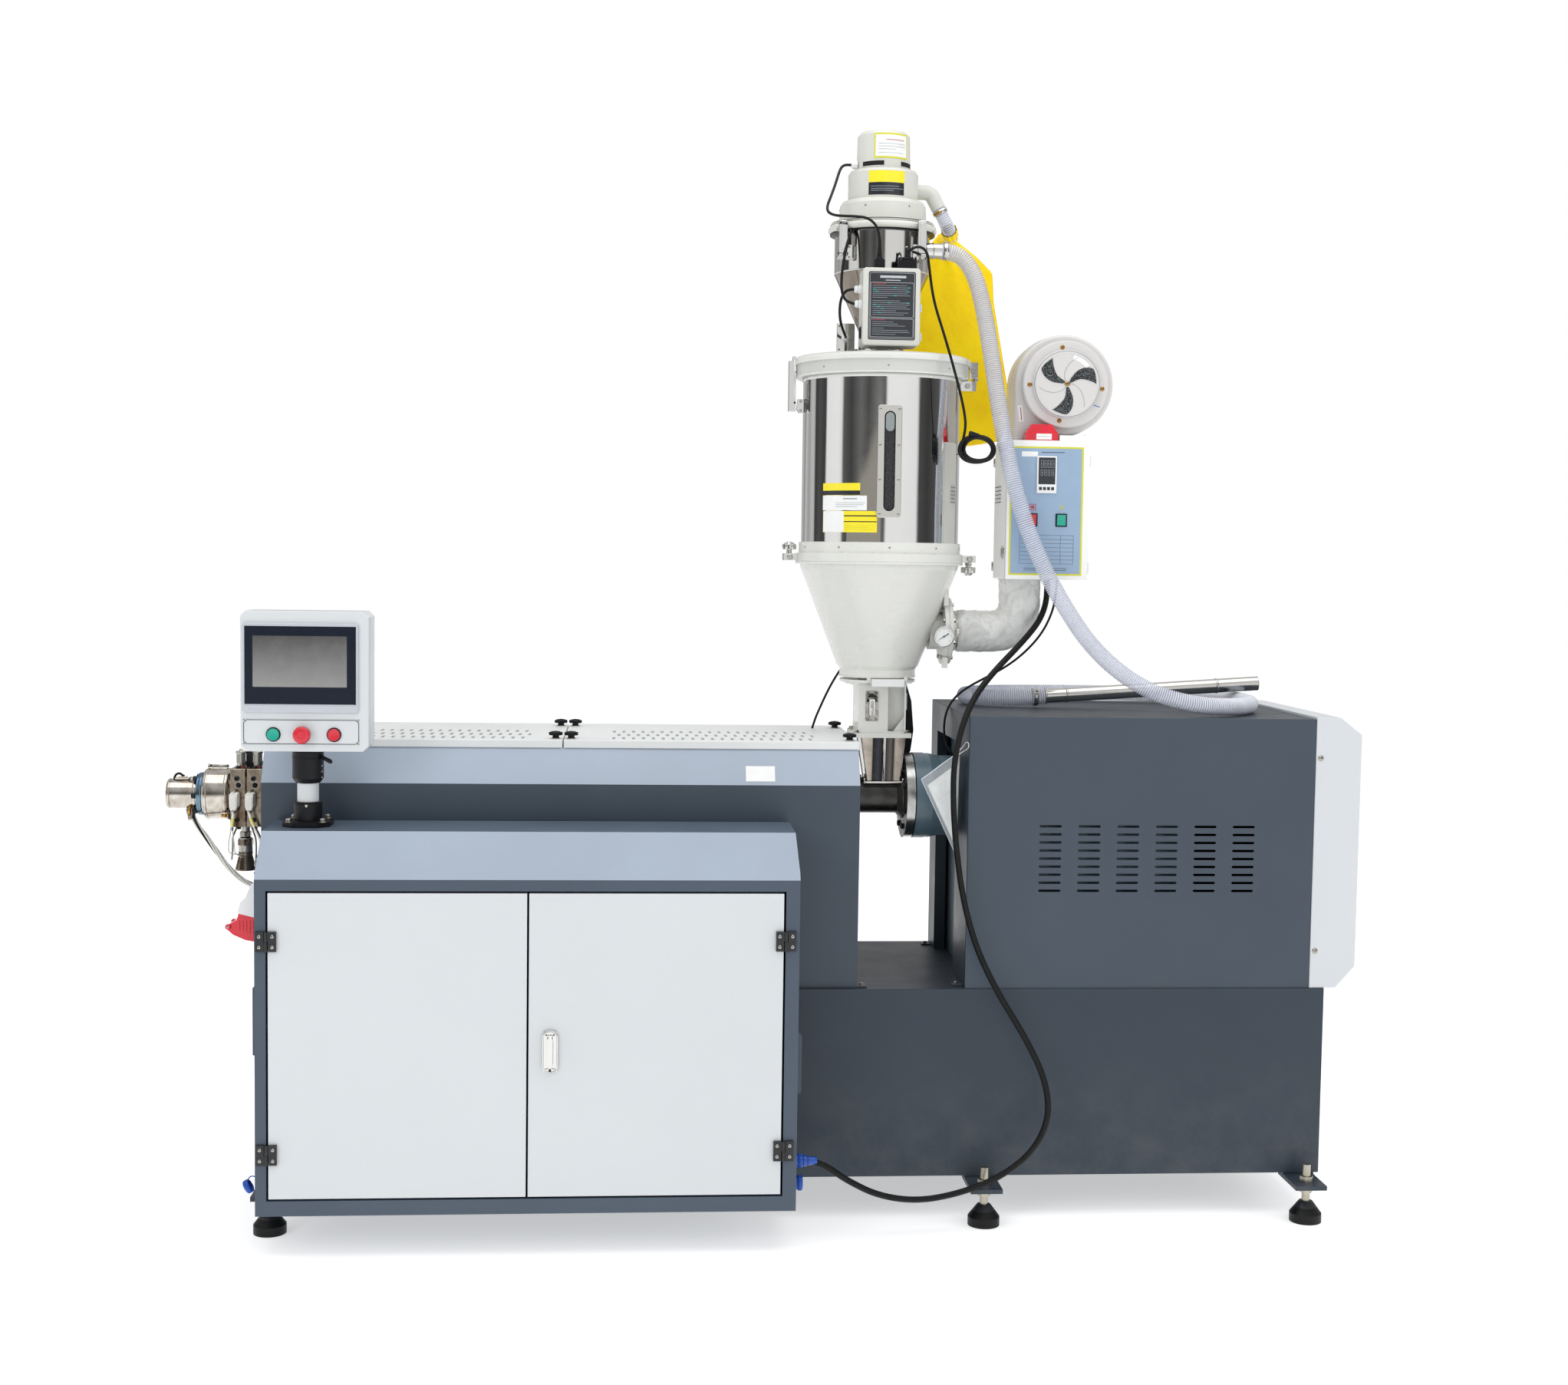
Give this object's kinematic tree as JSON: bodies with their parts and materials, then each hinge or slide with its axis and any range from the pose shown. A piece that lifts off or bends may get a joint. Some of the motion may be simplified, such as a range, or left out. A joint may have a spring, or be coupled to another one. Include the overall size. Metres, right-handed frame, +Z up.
{
  "type": "plastic extruder",
  "caption": "Single-screw plastic extruder with barrel housing, gear housing, electrical cabinet, operator panel, hopper dryer and vacuum loader.",
  "frame": {"origin": "on the floor under the middle of the machine", "axes": "+X along the machine from the die end to the drive end, -Y towards the operator, +Z up"},
  "size_m": [3.051, 1.009, 2.773],
  "materials": {
    "bag_cloth": "yellow non-woven filter cloth",
    "black_plastic": "black moulded plastic",
    "blue_plastic": "blue moulded plastic",
    "cast_paint": "blue-grey enamel on a casting",
    "clear_hose": "clear PVC with a spiral",
    "cream_paint": "cream-white enamel",
    "dark_metal": "black painted or blackened steel",
    "duct_wrap": "glass-cloth insulation wrap",
    "frame_paint": "slate grey-blue powder coat, fine texture",
    "glass": "clear sight glass",
    "loader_grey": "warm light grey enamel",
    "mirror_steel": "mirror polished stainless sheet",
    "panel_white": "white powder coat, fine orange peel",
    "red_plastic": "red moulded plastic",
    "rubber": "black rubber",
    "steel": "ground stainless, heat tinted near the die",
    "white_plastic": "white moulded plastic"
  },
  "bodies": {
    "machine": {"alarm_box": "red_plastic", "barrel_cover_left": "panel_white", "barrel_cover_right": "panel_white", "barrel_housing": "frame_paint", "base_frame": "frame_paint", "cabinet_case": "frame_paint", "cabinet_hood": "frame_paint", "conduit_plug": "blue_plastic", "control_conduit": "rubber", "cover_knobs": "black_plastic", "die_blocks": "steel", "die_fittings": "steel", "die_heaters": "steel", "die_leads": "rubber", "dryer_blower": "loader_grey", "dryer_control": "panel_white", "dryer_duct": "duct_wrap", "dryer_lead": "rubber", "dust_bag": "bag_cloth", "exhaust_hose": "clear_hose", "feed_barrel": "steel", "gear_housing": "frame_paint", "gearbox": "cast_paint", "hinge_leaves_fixed": "dark_metal", "hopper_clamps": "steel", "hopper_cone": "cream_paint", "hopper_drum": "mirror_steel", "hopper_lid": "cream_paint", "hopper_neck": "cream_paint", "lead_coil": "rubber", "lead_plugs": "black_plastic", "level_lead": "rubber", "levelling_feet": "dark_metal", "loader_control": "loader_grey", "loader_fittings": "steel", "loader_head": "loader_grey", "loader_vessel": "mirror_steel", "motor_lead": "rubber", "panel_column": "black_plastic", "power_inlet": "white_plastic", "power_inlet_cap": "red_plastic", "power_lead": "rubber", "probe_lead": "rubber", "pulley_guard": "panel_white", "rear_apron": "rubber", "side_sockets": "blue_plastic", "side_vents": "frame_paint", "sight_glass": "glass", "suction_hose": "clear_hose", "suction_wand": "steel", "throat_funnel": "mirror_steel", "valve_lead": "rubber"},
    "door_left": {"cabinet_door_left": "panel_white"},
    "door_right": {"cabinet_door_right": "panel_white"},
    "handle": {"door_handle_lever": "steel"},
    "operator_panel": {"panel_box": "panel_white", "panel_screen": "white_plastic", "panel_buttons": "red_plastic", "panel_clamp": "black_plastic"},
    "gate": {"slide_gate": "white_plastic"}
  },
  "joints": [
    {"name": "door_left_hinge", "type": "hinge", "parent": "machine", "child": "door_left", "pos_m": [-1.1775, -0.493, 0.5], "axis": [0, 0, -1], "range_deg": [0, 120]},
    {"name": "door_right_hinge", "type": "hinge", "parent": "machine", "child": "door_right", "pos_m": [0.0395, -0.493, 0.5], "axis": [0, 0, 1], "range_deg": [0, 120]},
    {"name": "handle_pull", "type": "hinge", "parent": "door_right", "child": "handle", "pos_m": [-0.517, -0.497, 0.529], "axis": [-1, 0, 0], "range_deg": [0, 40]},
    {"name": "panel_swivel", "type": "hinge", "parent": "machine", "child": "operator_panel", "pos_m": [-1.105, -0.327, 1.112], "axis": [0, 0, 1], "range_deg": [-45, 45]},
    {"name": "gate_slide", "type": "slide", "parent": "machine", "child": "gate", "axis": [0, -1, 0], "range_m": [0, 0.075]}
  ]
}
